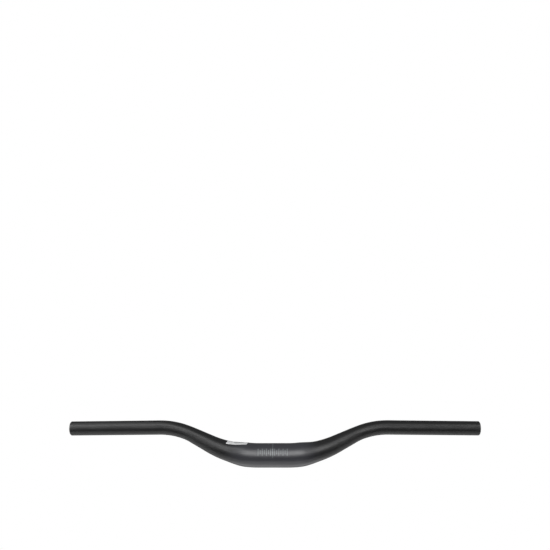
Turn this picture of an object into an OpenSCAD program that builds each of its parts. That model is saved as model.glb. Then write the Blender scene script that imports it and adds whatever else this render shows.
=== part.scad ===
// Riser handlebar of a small bicycle: one aluminium tube, butted inside, swaged down from a thick
// clamp zone to slim grip ends, and bent twice on each side so that it rises and sweeps back.
// Millimetres. The origin is the middle of the clamp zone, on the tube's axis. +X runs along the
// bar, +Y points back to the rider and +Z points up.

/* [Overall] */
// Width of the bar, between the middles of its two cut ends
width = 550; // [480:5:800]
// Rise, from the axis of the clamp zone to the axis at the cut ends
rise = 41; // [32:1:80]
// Backsweep of the grip ends, in degrees
backsweep = 9; // [0:0.5:16]
// Upsweep of the grip ends, in degrees
upsweep = 1; // [0:0.5:5]

/* [Clamp zone] */
// Diameter of the clamp zone, which the stem holds
clamp_d = 31.8; // [28:0.1:35]
// Length of the clamp zone that is straight
straight_len = 38; // [34:1:50]
// Length of the full diameter, along the axis, which runs on into the lower bends
bulge_len = 78; // [68:1:100]

/* [Grip ends] */
// Diameter of the grip ends
grip_d = 19; // [17:0.1:22.2]
// Rounding of the outer edge at each cut end
end_round = 1.5; // [0.5:0.1:1.7]
// Bevel of the inner edge at each cut end
end_bevel = 0.4; // [0.2:0.1:0.6]

/* [Bends] */
// Radius of the lower bends, at the axis
lower_bend_r = 137; // [90:1:170]
// Slope of the tube between its bends, in degrees
rise_angle = 27; // [22:0.5:31]
// Backsweep of the tube between its bends, in degrees
rise_sweep = 6; // [3:0.5:9]
// Radius of the upper bends, at the axis
upper_bend_r = 106; // [60:1:140]

/* [Taper] */
// Length of the steep taper beside the full diameter
shoulder_len = 18; // [12:1:30]
// Diameter where the steep taper turns into the long one
shoulder_d = 26.8; // [24:0.1:29]
// Length of the long taper, down to the grip diameter
taper_len = 61; // [45:1:75]
// Reach of the soft change from one taper to the next, to each side
taper_blend = 5; // [2:0.5:8]

/* [Wall] */
// Wall of the clamp zone
clamp_wall = 2.8; // [2:0.1:4]
// Wall where the steep taper ends
shoulder_wall = 2.3; // [1.8:0.1:3]
// Wall of the grip ends
grip_wall = 2.2; // [2:0.1:3]

/* [Smoothness] */
// Sides of the tube's outer face in the bends
outer_sides = 48; // [32:4:56]
// Sides of the tube's inner face in the bends
inner_sides = 32; // [24:4:36]
// Longest step along the axis in the bends
ring_step = 5.2; // [5:0.1:8]

/* [Hidden] */
$fn = 96;

// The bends run this far into the straight stretches, and are this much slimmer there, so that
// no two faces of the tube coincide.
lap = 1;
seam = 0.02;
// A cut that has to pass a face goes this far beyond it.
past = 1;

function unit(v) = v / norm(v);
function heading(back, up) = [cos(up) * cos(back), cos(up) * sin(back), sin(up)];

// Directions of the axis on the +X side: clamp zone, tube between the bends, grip end
clamp_dir = [1, 0, 0];
rise_dir = heading(rise_sweep, rise_angle);
grip_dir = heading(backsweep, upsweep);

// A bend from direction a to direction b: its angle, its length and the way it leads
function bend_angle(a, b) = acos(a * b);
function bend_len(a, b, r) = r * bend_angle(a, b) * PI / 180;
function bend_move(a, b, r, angle) =
    r * (sin(angle) * a + (1 - cos(angle)) * unit(b - (a * b) * a));
function bend_heading(a, b, angle) = cos(angle) * a + sin(angle) * unit(b - (a * b) * a);

lower_move = bend_move(clamp_dir, rise_dir, lower_bend_r, bend_angle(clamp_dir, rise_dir));
upper_move = bend_move(rise_dir, grip_dir, upper_bend_r, bend_angle(rise_dir, grip_dir));

// The two straight lengths that are left, between the bends and at the grip, close the gap to
// the width and the rise: rise_len * rise_dir + grip_len * grip_dir spans [gap_x, , gap_z].
gap_x = width / 2 - straight_len / 2 - lower_move.x - upper_move.x;
gap_z = rise - lower_move.z - upper_move.z;
cross_xz = rise_dir.x * grip_dir.z - grip_dir.x * rise_dir.z;
rise_len = (gap_x * grip_dir.z - grip_dir.x * gap_z) / cross_xz;
grip_len = (rise_dir.x * gap_z - gap_x * rise_dir.z) / cross_xz;

// Where each stretch ends, along the axis from the middle of the bar, and its point there
lower_from = straight_len / 2;
lower_to = lower_from + bend_len(clamp_dir, rise_dir, lower_bend_r);
upper_from = lower_to + rise_len;
upper_to = upper_from + bend_len(rise_dir, grip_dir, upper_bend_r);
lower_start = lower_from * clamp_dir;
rise_start = lower_start + lower_move;
upper_start = rise_start + rise_len * rise_dir;
grip_start = upper_start + upper_move;

// Point and direction of the axis at the distance s from the middle
function axis_point(s) =
    s < lower_from ? s * clamp_dir
    : s < lower_to
        ? lower_start + bend_move(clamp_dir, rise_dir, lower_bend_r, turn(s, lower_from, lower_bend_r))
    : s < upper_from ? rise_start + (s - lower_to) * rise_dir
    : s < upper_to
        ? upper_start + bend_move(rise_dir, grip_dir, upper_bend_r, turn(s, upper_from, upper_bend_r))
    : grip_start + (s - upper_to) * grip_dir;
function axis_heading(s) =
    s < lower_from ? clamp_dir
    : s < lower_to ? bend_heading(clamp_dir, rise_dir, turn(s, lower_from, lower_bend_r))
    : s < upper_from ? rise_dir
    : s < upper_to ? bend_heading(rise_dir, grip_dir, turn(s, upper_from, upper_bend_r))
    : grip_dir;
function turn(s, from, r) = (s - from) / r * 180 / PI;

// A size that falls along the axis, from the clamp zone over the shoulder to the grip end. Each
// change of slope is a ramp with a soft start.
bulge_end = bulge_len / 2;
shoulder_end = bulge_end + shoulder_len;
taper_end = shoulder_end + taper_len;
function soft_ramp(x) =
    x <= -taper_blend ? 0
    : x >= taper_blend ? x
    : pow(x + taper_blend, 2) / (4 * taper_blend);
function falling(s, at_clamp, at_shoulder, at_grip) =
    let (
        steep = (at_clamp - at_shoulder) / shoulder_len,
        gentle = (at_shoulder - at_grip) / taper_len
    )
    at_clamp - steep * soft_ramp(s - bulge_end) + (steep - gentle) * soft_ramp(s - shoulder_end)
        + gentle * soft_ramp(s - taper_end);
function outer_r(s) = falling(s, clamp_d / 2, shoulder_d / 2, grip_d / 2);
function inner_r(s) =
    falling(s, clamp_d / 2 - clamp_wall, shoulder_d / 2 - shoulder_wall, grip_d / 2 - grip_wall);

// One ring of points around the axis, square to it
function ring(s, r, sides) =
    let (
        along = axis_heading(s),
        across = unit(cross([0, 0, 1], along)),
        over = cross(along, across)
    )
    [for (i = [0:sides - 1])
        let (a = 360 * i / sides)
        axis_point(s) + r * (cos(a) * across + sin(a) * over)];

// Both bends of one side and the taper through them, as one skin over rings. It covers the outer
// face, or the inner one.
module bends(is_outer) {
    sides = is_outer ? outer_sides : inner_sides;
    from = lower_from - lap;
    to = upper_to + lap;
    steps = ceil((to - from) / ring_step);
    rings = [for (k = [0:steps])
        let (s = from + (to - from) * k / steps)
        ring(s, (is_outer ? outer_r(s) : inner_r(s)) - seam, sides)];
    walls = [for (k = [0:steps - 1], i = [0:sides - 1])
        let (j = (i + 1) % sides)
        [k * sides + i, (k + 1) * sides + i, (k + 1) * sides + j, k * sides + j]];
    start_cap = [for (i = [0:sides - 1]) i];
    end_cap = [for (i = [sides - 1:-1:0]) steps * sides + i];
    polyhedron([for (r = rings) each r], concat([start_cap, end_cap], walls), convexity = 6);
}

// Moves something that points along +Z to the start of the grip on the +X side
module at_grip() {
    translate(grip_start)
        rotate([0, 90 - upsweep, backsweep])
            children();
}

// Straight grip end, solid, with its cut edge rounded
module grip_end() {
    at_grip()
        rotate_extrude() {
            square([grip_d / 2, grip_len - end_round]);
            square([grip_d / 2 - end_round, grip_len]);
            translate([grip_d / 2 - end_round, grip_len - end_round])
                circle(end_round);
        }
}

// Bore of the grip end, with the bevel at its mouth
module grip_bore() {
    bore_r = grip_d / 2 - grip_wall;
    at_grip() {
        cylinder(r = bore_r, h = grip_len + past);
        translate([0, 0, grip_len - end_bevel])
            cylinder(r1 = bore_r, r2 = bore_r + end_bevel + past, h = end_bevel + past);
    }
}

// A straight round bar along X, as long as the clamp zone
module clamp_bar(d) {
    rotate([0, 90, 0])
        cylinder(d = d, h = straight_len, center = true);
}

// Repeats what is on the +X side on the other side too
module both_sides() {
    children();
    mirror([1, 0, 0]) children();
}

module handlebar() {
    color([0.07, 0.07, 0.075])
        difference() {
            union() {
                clamp_bar(clamp_d);
                both_sides() {
                    bends(true);
                    grip_end();
                }
            }
            clamp_bar(clamp_d - 2 * clamp_wall);
            both_sides() {
                bends(false);
                grip_bore();
            }
        }
}

handlebar();
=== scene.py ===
import math

import bpy
from mathutils import Matrix, Vector


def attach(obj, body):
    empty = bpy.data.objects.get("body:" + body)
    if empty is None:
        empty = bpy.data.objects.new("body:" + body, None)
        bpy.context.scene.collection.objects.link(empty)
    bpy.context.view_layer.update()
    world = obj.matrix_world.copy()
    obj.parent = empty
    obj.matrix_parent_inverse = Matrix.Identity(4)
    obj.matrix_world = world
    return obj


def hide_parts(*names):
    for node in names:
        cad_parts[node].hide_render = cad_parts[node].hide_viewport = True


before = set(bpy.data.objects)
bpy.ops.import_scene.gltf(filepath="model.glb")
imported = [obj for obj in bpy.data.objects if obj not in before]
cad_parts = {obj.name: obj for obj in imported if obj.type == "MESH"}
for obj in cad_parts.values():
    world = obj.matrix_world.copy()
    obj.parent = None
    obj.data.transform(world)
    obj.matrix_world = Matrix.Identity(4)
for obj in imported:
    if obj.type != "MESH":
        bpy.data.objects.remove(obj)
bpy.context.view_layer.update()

MM = 0.001

# Sizes of the bar, as in its source. +X runs along it, +Y back to the rider, +Z up.
WIDTH = 550 * MM
RISE = 41 * MM
BACKSWEEP = math.radians(9)
UPSWEEP = math.radians(1)
CLAMP_R = 15.9 * MM
STRAIGHT_LEN = 38 * MM
BULGE_LEN = 78 * MM
GRIP_R = 9.5 * MM
END_ROUND = 1.5 * MM
END_BEVEL = 0.4 * MM
LOWER_BEND_R = 137 * MM
RISE_ANGLE = math.radians(27)
RISE_SWEEP = math.radians(6)
UPPER_BEND_R = 106 * MM
SHOULDER_LEN = 18 * MM
SHOULDER_R = 13.4 * MM
TAPER_LEN = 61 * MM
TAPER_BLEND = 5 * MM
CLAMP_WALL = 2.8 * MM
SHOULDER_WALL = 2.3 * MM
GRIP_WALL = 2.2 * MM

# Smoothness of the meshes
SIDES = 96
OUTER_STEP = 2 * MM
INNER_STEP = 6 * MM
ROUND_STEPS = 8
TUBE_SHARP = math.radians(35)
PRINT_SHARP = math.radians(50)

# How deep the label and the ink reach into what they lie on
PRINT_SUNK = 0.02 * MM

# The label on the left shoulder: its reach along the axis, where its front edge lies around the
# tube at each end, its width around the tube, how far its ends slant, the radius of its corners,
# and its thickness. Angles start at the front and go up.
LABEL_FROM = -64.2 * MM
LABEL_TO = -35.2 * MM
LABEL_FRONT_FROM = math.radians(33)
LABEL_FRONT_TO = math.radians(46)
LABEL_WIDTH = 20 * MM
LABEL_SKEW = 2.5 * MM
LABEL_CORNER = 1.5 * MM
LABEL_T = 0.1 * MM

# Plain rules in place of the label's print, each with its place across the label and its reach
# along the label as shares, and its width
RULES = ((0.27, 0.32, 0.78, 1.6 * MM), (0.43, 0.32, 0.70, 0.7 * MM), (0.55, 0.32, 0.74, 0.7 * MM))

# The centring marks on the front of the clamp zone
MARK_T = 0.03 * MM
MARK_GAP = 2.7 * MM
MARK_COUNT_EACH_SIDE = 7
MARK_W = 0.8 * MM
MIDDLE_MARK_W = 1.4 * MM
MARK_LOW = math.radians(-11)
MARK_HIGH = math.radians(24)
MARK_SHORT_LOW = math.radians(-4)
MARK_SHORT_HIGH = math.radians(17)
CENTRE_LINE_W = 0.35 * MM
CENTRE_LINE_LOW = math.radians(-22)
CENTRE_LINE_HIGH = math.radians(62)

# Camera: where it stands as seen from the bar's origin, its focal length in pixels of the
# 550 pixel frame, and the pixel in which the origin lies
FRAME_PX = 550
CAMERA_AZIMUTH = math.radians(2.07)
CAMERA_ELEVATION = math.radians(-8.6)
CAMERA_ROLL = math.radians(0.34)
CAMERA_DISTANCE = 1.5
FOCAL_PX = 1130
ORIGIN_PX = (273.03, 455.34)
SENSOR_MM = 36

# The floor. The camera sees it glow from one level to another, between two distances from its
# middle.
FLOOR_Z = -0.75
FLOOR_HALF = 6.0
FLOOR_COLOUR = (0.9, 0.9, 0.9)
FLOOR_GLOW_NEAR, FLOOR_GLOW_FAR = 0.5, 0.9
FLOOR_NEAR, FLOOR_FAR = 0.5, 2.5

# The black card under the camera's line of sight
FLAG_Z = -0.32
FLAG_HALF = 0.7
FLAG_FRONT, FLAG_BACK = -1.1, -0.12
FLAG_COLOUR = (0.01, 0.01, 0.01)
PAPER_ROUGHNESS = 0.9

# The finish: the bar's black, the greyer black of the clamp zone, and where one fades into the
# other along the axis. The clamp zone's greyer black is partly its own finish and partly painted
# sheen, which stands in for that zone's stronger gloss.
BAR_DARK, BAR_LIGHT = (0.0075, 0.0077, 0.008), (0.0102, 0.0105, 0.0108)
CLAMP_FINISH_AND_SHEEN_DARK, CLAMP_FINISH_AND_SHEEN_LIGHT = (0.033, 0.0337, 0.0395), (0.0425, 0.043, 0.0505)
CLAMP_FINISH_HALF = 37 * MM
CLAMP_FINISH_FADE = 66 * MM
BAR_ROUGHNESS = 0.34
CLAMP_ROUGHNESS = 0.33
ROUGHNESS_DRIFT = 0.03
BAR_IOR = 1.7

# The label's film and the ink
FILM_DARK, FILM_LIGHT = (0.58, 0.585, 0.59), (0.68, 0.685, 0.69)
FILM_ROUGHNESS = (0.5, 0.62)
INK_DARK, INK_LIGHT = (0.16, 0.175, 0.18), (0.27, 0.29, 0.30)
INK_ROUGHNESS = (0.4, 0.5)

# The room's light on the bar. The camera sees the room as white.
ROOM_LIGHT = 0.125

# Lamps: azimuth (0 is in front, 90 is on the +X side) and elevation in degrees, distance, width,
# height, and radiance
LAMPS = {
    "front_strip": (1, 8, 1.3, 0.45, 1.0, 1.41),
    "front_wide": (0, 8, 1.3, 1.0, 0.4, 2.5),
    "front_high": (-2, 25, 1.3, 0.5, 0.37, 2.42),
    "front_low": (0, -3, 1.3, 1.2, 0.3, 1.29),
    "front_under": (0, -14, 1.3, 0.8, 0.2, 1.02),
    "key_left": (-30, 38, 1.3, 0.6, 0.5, 1.44),
    "key_right": (30, 38, 1.3, 0.6, 0.5, 0.52),
    "high_left": (-70, 52, 0.65, 0.3, 0.25, 0.58),
    "side_left": (-62, 15, 1.3, 0.6, 1.0, 3.65),
    "side_right": (60, 15, 1.3, 0.6, 1.0, 2.25),
    "side_flat_left": (-80, 0, 1.3, 0.6, 1.0, 1.73),
    "side_flat_right": (80, 0, 1.3, 0.6, 1.0, 0.6),
    "side_low_right": (62, -22, 1.3, 0.6, 0.5, 0.58),
    "under_back": (180, -45, 0.6, 1.4, 0.4, 0.38),
    "under_mid": (180, -60, 0.32, 0.4, 0.25, 0.62),
    "under_clamp": (0, -78, 0.28, 0.22, 0.2, 0.4),
}


def heading(back, up):
    """The direction that is turned from +X by two angles."""
    return Vector((math.cos(up) * math.cos(back), math.cos(up) * math.sin(back), math.sin(up)))


class Bend:
    """A bend of constant radius from one heading to another."""

    def __init__(self, start, end, radius):
        self.start = start
        self.radius = radius
        self.angle = math.acos(start.dot(end))
        self.toward = (end - start.dot(end) * start).normalized()
        self.length = radius * self.angle

    def move(self, angle):
        return self.radius * (math.sin(angle) * self.start + (1 - math.cos(angle)) * self.toward)

    def heading(self, angle):
        return math.cos(angle) * self.start + math.sin(angle) * self.toward


class Axis:
    """The tube's axis. s is the distance along it from the middle, negative on the -X side. The
    lengths of the rise and of the grip follow from the bar's width and rise."""

    def __init__(self):
        self.clamp = Vector((1, 0, 0))
        self.rise = heading(RISE_SWEEP, RISE_ANGLE)
        self.grip = heading(BACKSWEEP, UPSWEEP)
        self.lower = Bend(self.clamp, self.rise, LOWER_BEND_R)
        self.upper = Bend(self.rise, self.grip, UPPER_BEND_R)
        bends = self.lower.move(self.lower.angle) + self.upper.move(self.upper.angle)
        gap_x = WIDTH / 2 - STRAIGHT_LEN / 2 - bends.x
        gap_z = RISE - bends.z
        cross_xz = self.rise.x * self.grip.z - self.grip.x * self.rise.z
        rise_len = (gap_x * self.grip.z - self.grip.x * gap_z) / cross_xz
        grip_len = (self.rise.x * gap_z - gap_x * self.rise.z) / cross_xz
        self.lower_from = STRAIGHT_LEN / 2
        self.lower_to = self.lower_from + self.lower.length
        self.upper_from = self.lower_to + rise_len
        self.upper_to = self.upper_from + self.upper.length
        self.end = self.upper_to + grip_len
        self.lower_start = self.lower_from * self.clamp
        self.rise_start = self.lower_start + self.lower.move(self.lower.angle)
        self.upper_start = self.rise_start + rise_len * self.rise
        self.grip_start = self.upper_start + self.upper.move(self.upper.angle)

    def half(self, s):
        """Point and heading at s on the +X side."""
        if s < self.lower_from:
            return s * self.clamp, self.clamp
        if s < self.lower_to:
            angle = (s - self.lower_from) / LOWER_BEND_R
            return self.lower_start + self.lower.move(angle), self.lower.heading(angle)
        if s < self.upper_from:
            return self.rise_start + (s - self.lower_to) * self.rise, self.rise
        if s < self.upper_to:
            angle = (s - self.upper_from) / UPPER_BEND_R
            return self.upper_start + self.upper.move(angle), self.upper.heading(angle)
        return self.grip_start + (s - self.upper_to) * self.grip, self.grip

    def at(self, s):
        """Point at s, and the directions along the tube, to its front and to its top."""
        point, along = self.half(abs(s))
        if s < 0:
            point = Vector((-point.x, point.y, point.z))
            along = Vector((along.x, -along.y, -along.z))
        front = along.cross(Vector((0, 0, 1))).normalized()
        return point, along, front, front.cross(along)

    def on_tube(self, s, angle, r):
        """The point at radius r, an angle up from the tube's front."""
        point, _, front, top = self.at(s)
        return point + r * (math.cos(angle) * front + math.sin(angle) * top)


AXIS = Axis()


def soft_ramp(x):
    """0 below 0 and x above it, with a rounded corner."""
    if x <= -TAPER_BLEND:
        return 0
    if x >= TAPER_BLEND:
        return x
    return (x + TAPER_BLEND) ** 2 / (4 * TAPER_BLEND)


def falling(s, at_clamp, at_shoulder, at_grip):
    """A size that falls along the axis in a steep taper and a long one."""
    bulge_end = BULGE_LEN / 2
    shoulder_end = bulge_end + SHOULDER_LEN
    taper_end = shoulder_end + TAPER_LEN
    steep = (at_clamp - at_shoulder) / SHOULDER_LEN
    gentle = (at_shoulder - at_grip) / TAPER_LEN
    return (at_clamp
            - steep * soft_ramp(abs(s) - bulge_end)
            + (steep - gentle) * soft_ramp(abs(s) - shoulder_end)
            + gentle * soft_ramp(abs(s) - taper_end))


def outer_r(s):
    return falling(s, CLAMP_R, SHOULDER_R, GRIP_R)


def inner_r(s):
    return falling(s, CLAMP_R - CLAMP_WALL, SHOULDER_R - SHOULDER_WALL, GRIP_R - GRIP_WALL)


def stations(start, end, step):
    """Even places from start to end, at most a step apart."""
    count = math.ceil(abs(end - start) / step)
    return [start + (end - start) * k / count for k in range(count + 1)]


def new_object(name, points, faces, material):
    mesh = bpy.data.meshes.new(name)
    mesh.from_pydata(points, [], faces)
    mesh.validate()
    mesh.materials.append(material)
    piece = bpy.data.objects.new(name, mesh)
    bpy.context.scene.collection.objects.link(piece)
    return piece


def smooth(piece, sharp_angle):
    for polygon in piece.data.polygons:
        polygon.use_smooth = True
    piece.data.set_sharp_from_angle(angle=sharp_angle)


def tube_rings():
    """Every ring of the tube as (s, radius): the outer face, the right cut end, the bore and
    the left cut end. The last ring meets the first."""
    turns = [math.pi / 2 * k / ROUND_STEPS for k in range(1, ROUND_STEPS + 1)]
    edge = [(AXIS.end - END_ROUND + END_ROUND * math.sin(turn),
             GRIP_R - END_ROUND + END_ROUND * math.cos(turn)) for turn in turns]
    outer = [(s, outer_r(s))
             for s in stations(-AXIS.end + END_ROUND, AXIS.end - END_ROUND, OUTER_STEP)]
    bore_r = GRIP_R - GRIP_WALL
    mouth = [(AXIS.end, bore_r + END_BEVEL)]
    inner = [(s, inner_r(s))
             for s in stations(AXIS.end - END_BEVEL, -AXIS.end + END_BEVEL, INNER_STEP)]
    left_mouth = [(-s, r) for s, r in mouth]
    left_edge = [(-s, r) for s, r in reversed(edge)]
    return outer + edge + mouth + inner + left_mouth + left_edge


def make_tube(material):
    """The whole bar as one closed skin. The attribute grain holds the distance along the tube
    and the place around it, for the finish."""
    points, faces, grain = [], [], []
    rings = tube_rings()
    for s, r in rings:
        for k in range(SIDES):
            angle = 2 * math.pi * k / SIDES
            points.append(AXIS.on_tube(s, angle, r))
            grain.append((s, r * math.cos(angle), r * math.sin(angle)))
    for ring in range(len(rings)):
        here = ring * SIDES
        there = (ring + 1) % len(rings) * SIDES
        for k in range(SIDES):
            n = (k + 1) % SIDES
            faces.append((here + n, here + k, there + k, there + n))
    tube = new_object("bar_tube", points, faces, material)
    layer = tube.data.attributes.new("grain", "FLOAT_VECTOR", "POINT")
    layer.data.foreach_set("vector", [x for place in grain for x in place])
    smooth(tube, TUBE_SHARP)
    return tube


def patch(place, cells_along, cells_around, bottom, top):
    """Points and faces of a thin closed patch on the tube, from bottom to top above its skin.
    place maps (u, v), each from 0 to 1, to a distance along the tube and an angle around it."""
    points, faces = [], []
    for lift in (bottom, top):
        for i in range(cells_along + 1):
            for j in range(cells_around + 1):
                s, angle = place(i / cells_along, j / cells_around)
                points.append(AXIS.on_tube(s, angle, outer_r(s) + lift))
    row = cells_around + 1
    layer = (cells_along + 1) * row
    for i in range(cells_along):
        for j in range(cells_around):
            a, b = i * row + j, (i + 1) * row + j
            c, d = b + 1, a + 1
            faces.append((d, c, b, a))
            faces.append((a + layer, b + layer, c + layer, d + layer))
    rim = ([i * row for i in range(cells_along)]
           + [cells_along * row + j for j in range(cells_around)]
           + [i * row + cells_around for i in range(cells_along, 0, -1)]
           + [j for j in range(cells_around, 0, -1)])
    for a, b in zip(rim, rim[1:] + rim[:1]):
        faces.append((a, b, b + layer, a + layer))
    return points, faces


def make_patches(name, places, cells_along, cells_around, bottom, top, material):
    """One piece of several patches."""
    points, faces = [], []
    for place in places:
        more_points, more_faces = patch(place, cells_along, cells_around, bottom, top)
        faces += [tuple(i + len(points) for i in face) for face in more_faces]
        points += more_points
    piece = new_object(name, points, faces, material)
    smooth(piece, PRINT_SHARP)
    return piece


def label_angle(u, v):
    """Angle around the tube at shares u along the label and v across it."""
    front = LABEL_FRONT_FROM + (LABEL_FRONT_TO - LABEL_FRONT_FROM) * u
    return front + LABEL_WIDTH * v / outer_r(LABEL_FROM + (LABEL_TO - LABEL_FROM) * u)


def make_label(material):
    """The bare label, with rows that lie closer together at its rounded corners."""
    def place(u, v):
        across = (1 - math.cos(math.pi * v)) / 2
        dip = max(LABEL_CORNER - min(across, 1 - across) * LABEL_WIDTH, 0)
        inset = LABEL_CORNER - math.sqrt(LABEL_CORNER ** 2 - dip ** 2)
        start, end = LABEL_FROM + inset, LABEL_TO - inset
        return start + (end - start) * u + LABEL_SKEW * across, label_angle(u, across)
    return make_patches("shoulder_label", [place], cells_along=30, cells_around=36,
                        bottom=-PRINT_SUNK, top=LABEL_T, material=material)


def make_rules(material):
    """Plain rules in place of the label's print."""
    def rule(middle, start, end, width):
        def place(u, v):
            along = start + (end - start) * u
            across = middle + width / LABEL_WIDTH * (v - 0.5)
            s = LABEL_FROM + (LABEL_TO - LABEL_FROM) * along + LABEL_SKEW * across
            return s, label_angle(along, across)
        return place
    places = [rule(*values) for values in RULES]
    return make_patches("label_rules", places, cells_along=16, cells_around=2,
                        bottom=LABEL_T - PRINT_SUNK, top=LABEL_T + MARK_T, material=material)


def strip(s, width, low, high):
    """The place of a strip around the tube at s, from a low angle to a high one."""
    def place(u, v):
        return s + width * (u - 0.5), low + (high - low) * v
    return place


def make_marks(material):
    """Plain centring marks: a wide one in the middle with a fine line on below and above it, and
    long and short ones by turns on each side."""
    places = [strip(0, MIDDLE_MARK_W, MARK_LOW, MARK_HIGH),
              strip(0, CENTRE_LINE_W, CENTRE_LINE_LOW, MARK_LOW),
              strip(0, CENTRE_LINE_W, MARK_HIGH, CENTRE_LINE_HIGH)]
    for k in range(1, MARK_COUNT_EACH_SIDE + 1):
        low, high = (MARK_LOW, MARK_HIGH) if k % 2 else (MARK_SHORT_LOW, MARK_SHORT_HIGH)
        for side in (-1, 1):
            places.append(strip(side * k * MARK_GAP, MARK_W, low, high))
    return make_patches("centring_marks", places, cells_along=2, cells_around=16,
                        bottom=-PRINT_SUNK, top=MARK_T, material=material)


class Nodes:
    """A small helper to build a material's node tree."""

    def __init__(self, name):
        self.material = bpy.data.materials.new(name)
        self.material.use_nodes = True
        self.tree = self.material.node_tree
        self.shader = self.tree.nodes["Principled BSDF"]

    def add(self, kind, **values):
        """A new node. Each value goes to the input of that name, or else to the node's setting."""
        node = self.tree.nodes.new(kind)
        for key, value in values.items():
            if key in node.inputs:
                node.inputs[key].default_value = value
            else:
                setattr(node, key, value)
        return node

    def link(self, a, b):
        self.tree.links.new(a, b)

    def noise(self, vector, scale, detail, stretch=(1, 1, 1)):
        """Noise with its scale per metre, drawn out along an axis where stretch is below 1."""
        mapping = self.add("ShaderNodeMapping")
        mapping.inputs["Scale"].default_value = stretch
        self.link(vector, mapping.inputs["Vector"])
        noise = self.add("ShaderNodeTexNoise", Scale=scale, Detail=detail)
        self.link(mapping.outputs["Vector"], noise.inputs["Vector"])
        return noise.outputs["Fac"]

    def between(self, factor, low, high):
        """Maps the middle of a noise, from 0.3 to 0.7, to the range from low to high."""
        ranged = self.add("ShaderNodeMapRange")
        ranged.inputs["From Min"].default_value = 0.3
        ranged.inputs["From Max"].default_value = 0.7
        ranged.inputs["To Min"].default_value = low
        ranged.inputs["To Max"].default_value = high
        self.link(factor, ranged.inputs["Value"])
        return ranged.outputs["Result"]

    def mix(self, factor, a, b):
        mixed = self.add("ShaderNodeMix", data_type="RGBA")
        mixed.inputs["A"].default_value = (*a, 1)
        mixed.inputs["B"].default_value = (*b, 1)
        self.link(factor, mixed.inputs["Factor"])
        return mixed.outputs["Result"]

    def bump(self, height, strength, distance):
        """Bumps on the whole surface, distance high."""
        bump = self.add("ShaderNodeBump", Strength=strength, Distance=distance)
        self.link(height, bump.inputs["Height"])
        self.link(bump.outputs["Normal"], self.shader.inputs["Normal"])


def satin_black():
    """Blasted and black anodised aluminium: a fine grain, with a faint drift in gloss. The clamp
    zone is greyer, partly from its own finish and partly from painted sheen that stands in for its
    stronger gloss."""
    n = Nodes("satin_black")
    grain = n.add("ShaderNodeAttribute", attribute_name="grain").outputs["Vector"]
    bar = n.mix(n.noise(grain, scale=300, detail=6, stretch=(0.5, 1, 1)), BAR_DARK, BAR_LIGHT)
    # The clamp zone's greyer colour: partly its own finish, partly painted sheen for its stronger
    # gloss
    clamp = n.mix(n.noise(grain, scale=900, detail=4), CLAMP_FINISH_AND_SHEEN_DARK, CLAMP_FINISH_AND_SHEEN_LIGHT)
    split = n.add("ShaderNodeSeparateXYZ")
    n.link(grain, split.inputs["Vector"])
    distance = n.add("ShaderNodeMath", operation="ABSOLUTE")
    n.link(split.outputs["X"], distance.inputs[0])

    def zone(outside, inside):
        """A value that fades from the clamp zone to the rest of the bar."""
        fade = n.add("ShaderNodeMapRange", interpolation_type="SMOOTHSTEP")
        fade.inputs["From Min"].default_value = CLAMP_FINISH_FADE
        fade.inputs["From Max"].default_value = CLAMP_FINISH_HALF
        fade.inputs["To Min"].default_value = outside
        fade.inputs["To Max"].default_value = inside
        n.link(distance.outputs["Value"], fade.inputs["Value"])
        return fade.outputs["Result"]

    blend = n.add("ShaderNodeMix", data_type="RGBA")
    n.link(zone(0, 1), blend.inputs["Factor"])
    n.link(bar, blend.inputs["A"])
    n.link(clamp, blend.inputs["B"])
    n.link(blend.outputs["Result"], n.shader.inputs["Base Color"])
    streaks = n.noise(grain, scale=240, detail=3, stretch=(0.3, 1, 1))
    drift = n.between(streaks, -ROUGHNESS_DRIFT, ROUGHNESS_DRIFT)
    rough = n.add("ShaderNodeMath", operation="ADD")
    n.link(zone(BAR_ROUGHNESS, CLAMP_ROUGHNESS), rough.inputs[0])
    n.link(drift, rough.inputs[1])
    n.link(rough.outputs["Value"], n.shader.inputs["Roughness"])
    n.shader.inputs["IOR"].default_value = BAR_IOR
    n.bump(n.noise(grain, scale=3800, detail=2), strength=0.6, distance=0.04 * MM)
    return n.material


def label_film():
    """Matt pale film with a slight mottle."""
    n = Nodes("label_film")
    place = n.add("ShaderNodeTexCoord").outputs["Object"]
    mottle = n.noise(place, scale=300, detail=2)
    n.link(n.mix(mottle, FILM_DARK, FILM_LIGHT), n.shader.inputs["Base Color"])
    gloss = n.noise(place, scale=500, detail=2)
    n.link(n.between(gloss, *FILM_ROUGHNESS), n.shader.inputs["Roughness"])
    n.bump(n.noise(place, scale=1500, detail=2), strength=0.1, distance=0.03 * MM)
    return n.material


def mark_ink():
    """Thin grey ink, with the uneven cover of a pad print."""
    n = Nodes("mark_ink")
    place = n.add("ShaderNodeTexCoord").outputs["Object"]
    cover = n.noise(place, scale=900, detail=3)
    n.link(n.mix(cover, INK_DARK, INK_LIGHT), n.shader.inputs["Base Color"])
    gloss = n.noise(place, scale=700, detail=2)
    n.link(n.between(gloss, *INK_ROUGHNESS), n.shader.inputs["Roughness"])
    return n.material


def seen_from(azimuth, elevation):
    """The direction from the bar to where a lamp or the camera stands."""
    level = math.cos(elevation)
    return Vector((math.sin(azimuth) * level, -math.cos(azimuth) * level, math.sin(elevation)))


def softbox(name, azimuth, elevation, distance, width, height, radiance):
    """A rectangular lamp that faces the bar."""
    back = seen_from(math.radians(azimuth), math.radians(elevation))
    lamp = bpy.data.lights.new(name, "AREA")
    lamp.shape = "RECTANGLE"
    lamp.size = width
    lamp.size_y = height
    lamp.energy = radiance * math.pi * width * height
    holder = bpy.data.objects.new(name, lamp)
    holder.location = distance * back
    holder.rotation_mode = "QUATERNION"
    holder.rotation_quaternion = (-back).to_track_quat("-Z", "Y")
    holder.visible_camera = False
    bpy.context.scene.collection.objects.link(holder)


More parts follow.
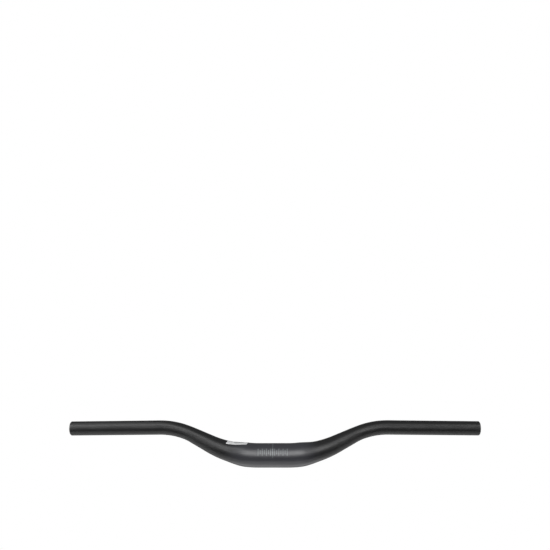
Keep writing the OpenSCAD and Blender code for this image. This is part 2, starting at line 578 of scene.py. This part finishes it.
def set_world():
    """A dim room that the camera sees as white."""
    world = bpy.data.worlds.new("room")
    world.use_nodes = True
    tree = world.node_tree
    background = tree.nodes["Background"]
    background.inputs["Color"].default_value = (1, 1, 1, 1)
    path = tree.nodes.new("ShaderNodeLightPath")
    level = tree.nodes.new("ShaderNodeMapRange")
    level.inputs["To Min"].default_value = ROOM_LIGHT
    level.inputs["To Max"].default_value = 1.0
    tree.links.new(path.outputs["Is Camera Ray"], level.inputs["Value"])
    tree.links.new(level.outputs["Result"], background.inputs["Strength"])
    bpy.context.scene.world = world


def make_floor():
    """A wide pale floor well below the bar, which keeps the bar's shadow. To the camera it turns
    white with distance, like the room."""
    h = FLOOR_HALF
    points = [(-h, -h, FLOOR_Z), (h, -h, FLOOR_Z), (h, h, FLOOR_Z), (-h, h, FLOOR_Z)]
    n = Nodes("floor_paper")
    n.shader.inputs["Base Color"].default_value = (*FLOOR_COLOUR, 1)
    n.shader.inputs["Roughness"].default_value = PAPER_ROUGHNESS
    n.shader.inputs["Emission Color"].default_value = (1, 1, 1, 1)
    place = n.add("ShaderNodeTexCoord").outputs["Object"]
    reach = n.add("ShaderNodeVectorMath", operation="LENGTH")
    n.link(place, reach.inputs[0])
    fade = n.add("ShaderNodeMapRange", interpolation_type="SMOOTHSTEP")
    fade.inputs["From Min"].default_value = FLOOR_NEAR
    fade.inputs["From Max"].default_value = FLOOR_FAR
    fade.inputs["To Min"].default_value = FLOOR_GLOW_NEAR
    fade.inputs["To Max"].default_value = FLOOR_GLOW_FAR
    n.link(reach.outputs["Value"], fade.inputs["Value"])
    path = n.add("ShaderNodeLightPath")
    glow = n.add("ShaderNodeMath", operation="MULTIPLY")
    n.link(path.outputs["Is Camera Ray"], glow.inputs[0])
    n.link(fade.outputs["Result"], glow.inputs[1])
    n.link(glow.outputs["Value"], n.shader.inputs["Emission Strength"])
    floor = new_object("floor", points, [(0, 1, 2, 3)], n.material)


def make_flag():
    """A black card under the camera's line of sight, which keeps the bar's front underside dark."""
    n = Nodes("flag_black")
    n.shader.inputs["Base Color"].default_value = (*FLAG_COLOUR, 1)
    n.shader.inputs["Roughness"].default_value = PAPER_ROUGHNESS
    points = [(-FLAG_HALF, FLAG_FRONT, FLAG_Z), (FLAG_HALF, FLAG_FRONT, FLAG_Z),
              (FLAG_HALF, FLAG_BACK, FLAG_Z), (-FLAG_HALF, FLAG_BACK, FLAG_Z)]
    flag = new_object("flag", points, [(0, 1, 2, 3)], n.material)
    flag.visible_camera = False
    flag.visible_shadow = False


def make_camera():
    """The camera, turned so that the bar's origin lies in its pixel without a lens shift."""
    back = seen_from(CAMERA_AZIMUTH, CAMERA_ELEVATION)
    right = Vector((math.cos(CAMERA_AZIMUTH), math.sin(CAMERA_AZIMUTH), 0))
    up = back.cross(right)
    facing_origin = Matrix((right, up, back)).transposed().to_quaternion()
    aim = Vector((ORIGIN_PX[0] - FRAME_PX / 2, FRAME_PX / 2 - ORIGIN_PX[1], -FOCAL_PX))
    turn = aim.rotation_difference(Vector((0, 0, -1)))
    roll = Matrix.Rotation(CAMERA_ROLL, 3, "Z").to_quaternion()
    data = bpy.data.cameras.new("camera")
    data.sensor_width = SENSOR_MM
    data.lens = FOCAL_PX * SENSOR_MM / FRAME_PX
    camera = bpy.data.objects.new("camera", data)
    camera.location = CAMERA_DISTANCE * back
    camera.rotation_mode = "QUATERNION"
    camera.rotation_quaternion = facing_origin @ roll @ turn
    bpy.context.scene.collection.objects.link(camera)
    bpy.context.scene.camera = camera


def main():
    make_camera()
    bpy.context.scene.view_settings.view_transform = "Standard"
    set_world()
    make_floor()
    make_flag()
    for name, values in LAMPS.items():
        softbox(name, *values)

    tube = make_tube(satin_black())
    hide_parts("handlebar")
    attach(tube, "root")

    label = make_label(label_film())
    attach(label, "root")

    ink = mark_ink()
    for print_piece in (make_rules(ink), make_marks(ink)):
        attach(print_piece, "root")


main()
